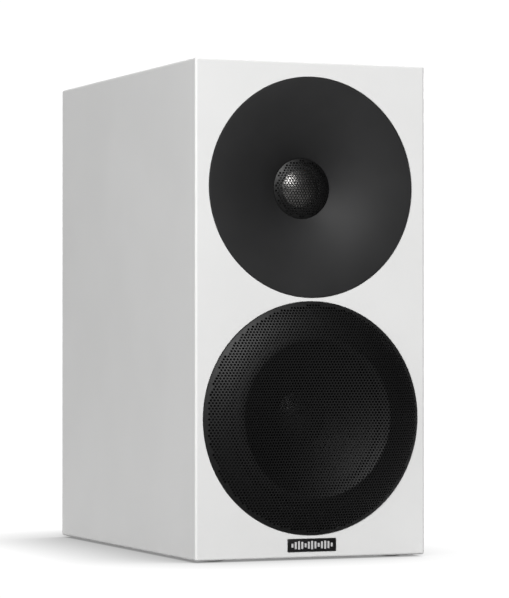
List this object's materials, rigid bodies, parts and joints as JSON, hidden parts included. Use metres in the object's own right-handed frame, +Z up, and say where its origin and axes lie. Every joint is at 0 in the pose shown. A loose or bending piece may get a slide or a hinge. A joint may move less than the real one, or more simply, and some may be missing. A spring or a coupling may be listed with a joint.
{
  "type": "bookshelf speaker",
  "caption": "Compact two-way bookshelf speaker: rectangular lacquered cabinet, round waveguide above a dished perforated woofer grille, rear port and binding posts.",
  "frame": {"origin": "centre of the base of the whole object's box, at floor level", "axes": "+Z up, the front faces -Y, +X to the right seen from the front"},
  "size_m": [0.161, 0.2998, 0.3212],
  "materials": {
    "lacquer": "satin white lacquer over fibreboard",
    "fibreboard": "raw fibreboard",
    "wadding": "loose white wadding",
    "rubber": "matte",
    "badge": "black with plain pale bars",
    "cast_frame": "black powder coat",
    "magnet_metal": "nickel plated",
    "surround_rubber": "matte",
    "spider_cloth": "treated cotton",
    "zinc_steel": "zinc plated",
    "ferrite": "sintered",
    "gasket_foam": "closed cell foam",
    "black_screw": "black oxide",
    "terminal_strip": "phenolic strip with tinned tabs",
    "tinsel": "braided",
    "waveguide_plastic": "satin moulded",
    "black_mesh": "perforated, powder coated",
    "black_grille": "perforated, powder coated",
    "black_plastic": "fine grain",
    "dome_cloth": "coated",
    "titanium": "bright",
    "port_plastic": "fine grain",
    "gold_plate": "gold plated",
    "red_plastic": "clear red insulator",
    "post_black_plastic": "black insulator",
    "lead_input": "insulation",
    "lead_woofer": "insulation",
    "lead_tweeter": "insulation",
    "circuit_board": "green solder mask",
    "nylon": "natural nylon",
    "copper_wire": "enamelled copper",
    "capacitor_film": "wrapped film",
    "ceramic": "glazed",
    "cone": "filled polypropylene",
    "dust_cap": "moulded",
    "former": "thin sheet"
  },
  "bodies": {
    "cabinet": {"front_baffle": "lacquer", "back_panel": "lacquer", "side_panel_left": "lacquer", "side_panel_right": "lacquer", "bottom_panel": "lacquer", "top_panel": "lacquer", "window_brace": "fibreboard", "damping_left": "wadding", "damping_right": "wadding", "feet": "rubber", "badge": "badge", "woofer_basket": "cast_frame", "grille_magnets": "magnet_metal", "woofer_surround": "surround_rubber", "woofer_spider": "spider_cloth", "woofer_front_plate": "zinc_steel", "woofer_magnet": "ferrite", "woofer_yoke": "zinc_steel", "woofer_gasket": "gasket_foam", "woofer_screws": "black_screw", "woofer_terminals": "terminal_strip", "woofer_tinsel_leads": "tinsel", "waveguide": "waveguide_plastic", "tweeter_grille": "black_mesh", "tweeter_mounting_plate": "black_plastic", "tweeter_surround": "dome_cloth", "tweeter_front_plate": "zinc_steel", "tweeter_magnet": "ferrite", "tweeter_yoke": "zinc_steel", "tweeter_rear_cup": "black_plastic", "tweeter_screws": "black_screw", "tweeter_terminals": "terminal_strip", "port_tube": "port_plastic", "terminal_plate": "black_plastic", "terminal_screws": "black_screw", "post_stud_red": "gold_plate", "post_collar_red": "red_plastic", "post_stud_black": "gold_plate", "post_collar_black": "post_black_plastic", "terminal_nuts": "zinc_steel", "input_leads": "lead_input", "woofer_leads": "lead_woofer", "tweeter_leads": "lead_tweeter", "crossover_board": "circuit_board", "crossover_standoffs": "nylon", "air_core_inductor": "copper_wire", "iron_core_inductor": "copper_wire", "capacitors": "capacitor_film", "resistors": "ceramic"},
    "woofer_diaphragm": {"woofer_cone": "cone", "woofer_dust_cap": "dust_cap", "woofer_former": "former", "woofer_voice_coil": "copper_wire"},
    "tweeter_diaphragm": {"tweeter_dome": "titanium", "tweeter_voice_coil": "copper_wire"},
    "grille": {"woofer_grille": "black_grille"},
    "red_washer": {"post_washer_red": "gold_plate"},
    "red_nut": {"post_nut_red": "red_plastic"},
    "black_washer": {"post_washer_black": "gold_plate"},
    "black_nut": {"post_nut_black": "post_black_plastic"}
  },
  "joints": [
    {"name": "woofer_excursion", "type": "slide", "parent": "cabinet", "child": "woofer_diaphragm", "axis": [0, -1, 0], "range_m": [-0.005, 0.005], "stiffness_N_per_m": 1000, "deforming": ["woofer_surround", "woofer_spider", "woofer_tinsel_leads"]},
    {"name": "tweeter_excursion", "type": "slide", "parent": "cabinet", "child": "tweeter_diaphragm", "axis": [0, -1, 0], "range_m": [-0.0005, 0.0005], "stiffness_N_per_m": 1500, "deforming": ["tweeter_surround"]},
    {"name": "grille_removal", "type": "slide", "parent": "cabinet", "child": "grille", "axis": [0, -1, 0], "range_m": [0, 0.035]},
    {"name": "red_washer_slide", "type": "slide", "parent": "cabinet", "child": "red_washer", "axis": [0, 1, 0], "range_m": [0, 0.006]},
    {"name": "red_nut_turn", "type": "hinge", "parent": "red_washer", "child": "red_nut", "pos_m": [-0.0095, 0.1404, 0.0932], "axis": [0, 1, 0], "range_deg": [0, 2160]},
    {"name": "black_washer_slide", "type": "slide", "parent": "cabinet", "child": "black_washer", "axis": [0, 1, 0], "range_m": [0, 0.006]},
    {"name": "black_nut_turn", "type": "hinge", "parent": "black_washer", "child": "black_nut", "pos_m": [0.0095, 0.1404, 0.0932], "axis": [0, 1, 0], "range_deg": [0, 2160]}
  ],
  "couplings": [
    {"joint": "red_nut_turn", "follows": "red_washer_slide", "rad_per_m": 6283.2},
    {"joint": "black_nut_turn", "follows": "black_washer_slide", "rad_per_m": 6283.2}
  ]
}
